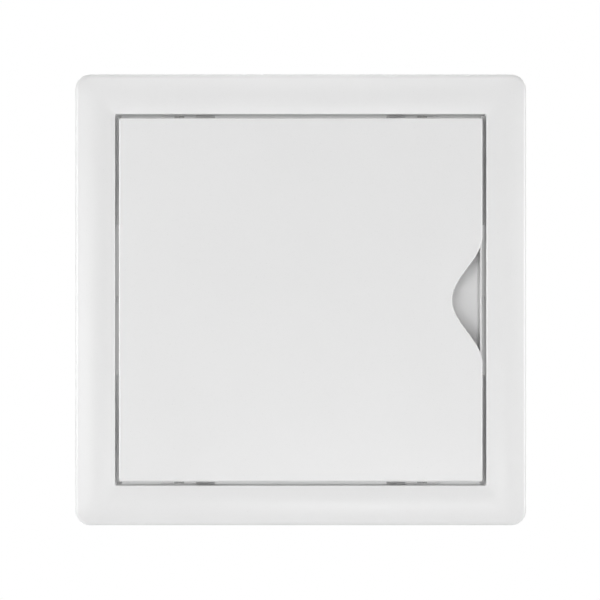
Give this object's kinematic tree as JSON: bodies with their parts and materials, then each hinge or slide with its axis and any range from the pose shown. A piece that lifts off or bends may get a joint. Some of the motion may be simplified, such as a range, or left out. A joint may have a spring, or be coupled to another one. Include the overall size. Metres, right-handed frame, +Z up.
{
  "type": "ceiling access panel",
  "caption": "Square flush access panel for a ceiling or wall board: crowned frame with a neck, hinged door with a finger notch and pocket, and sprung side clips.",
  "frame": {"origin": "centre of the frame's square opening, in the plane where the flange seats on the board", "axes": "+Y along the neck into the ceiling or wall board, so the door's front faces -Y; the hinge is at -X, the finger notch at +X, and +Z is up as in the picture"},
  "size_m": [0.18, 0.023, 0.18],
  "materials": {
    "white_abs": "smooth moulded ABS, semi-gloss",
    "spring_steel": "rolled stainless spring strip",
    "pin_steel": "drawn stainless wire, cut to length"
  },
  "bodies": {
    "frame_body": {"frame": "white_abs", "hinge_pin_upper": "pin_steel", "hinge_pin_lower": "pin_steel", "clip_pin_top_left": "pin_steel", "clip_pin_top_right": "pin_steel", "clip_pin_bottom_left": "pin_steel", "clip_pin_bottom_right": "pin_steel"},
    "door_body": {"door": "white_abs"},
    "clip_top_left": {"spring_clip_top_left": "spring_steel"},
    "clip_top_right": {"spring_clip_top_right": "spring_steel"},
    "clip_bottom_left": {"spring_clip_bottom_left": "spring_steel"},
    "clip_bottom_right": {"spring_clip_bottom_right": "spring_steel"}
  },
  "joints": [
    {"name": "door_hinge", "type": "hinge", "parent": "frame_body", "child": "door_body", "pos_m": [-0.06806, 0.0004, 0], "axis": [0, 0, -1], "range_deg": [0, 105]},
    {"name": "clip_top_left_pivot", "type": "hinge", "parent": "frame_body", "child": "clip_top_left", "pos_m": [-0.049, 0.0164, 0.0748], "axis": [1, 0, 0], "range_deg": [0, 18], "stiffness_Nm_per_rad": 0.05, "springref_deg": -8.59},
    {"name": "clip_top_right_pivot", "type": "hinge", "parent": "frame_body", "child": "clip_top_right", "pos_m": [0.049, 0.0164, 0.0748], "axis": [1, 0, 0], "range_deg": [0, 18], "stiffness_Nm_per_rad": 0.05, "springref_deg": -8.59},
    {"name": "clip_bottom_left_pivot", "type": "hinge", "parent": "frame_body", "child": "clip_bottom_left", "pos_m": [-0.049, 0.0164, -0.0748], "axis": [-1, 0, 0], "range_deg": [0, 18], "stiffness_Nm_per_rad": 0.05, "springref_deg": -8.59},
    {"name": "clip_bottom_right_pivot", "type": "hinge", "parent": "frame_body", "child": "clip_bottom_right", "pos_m": [0.049, 0.0164, -0.0748], "axis": [-1, 0, 0], "range_deg": [0, 18], "stiffness_Nm_per_rad": 0.05, "springref_deg": -8.59}
  ]
}
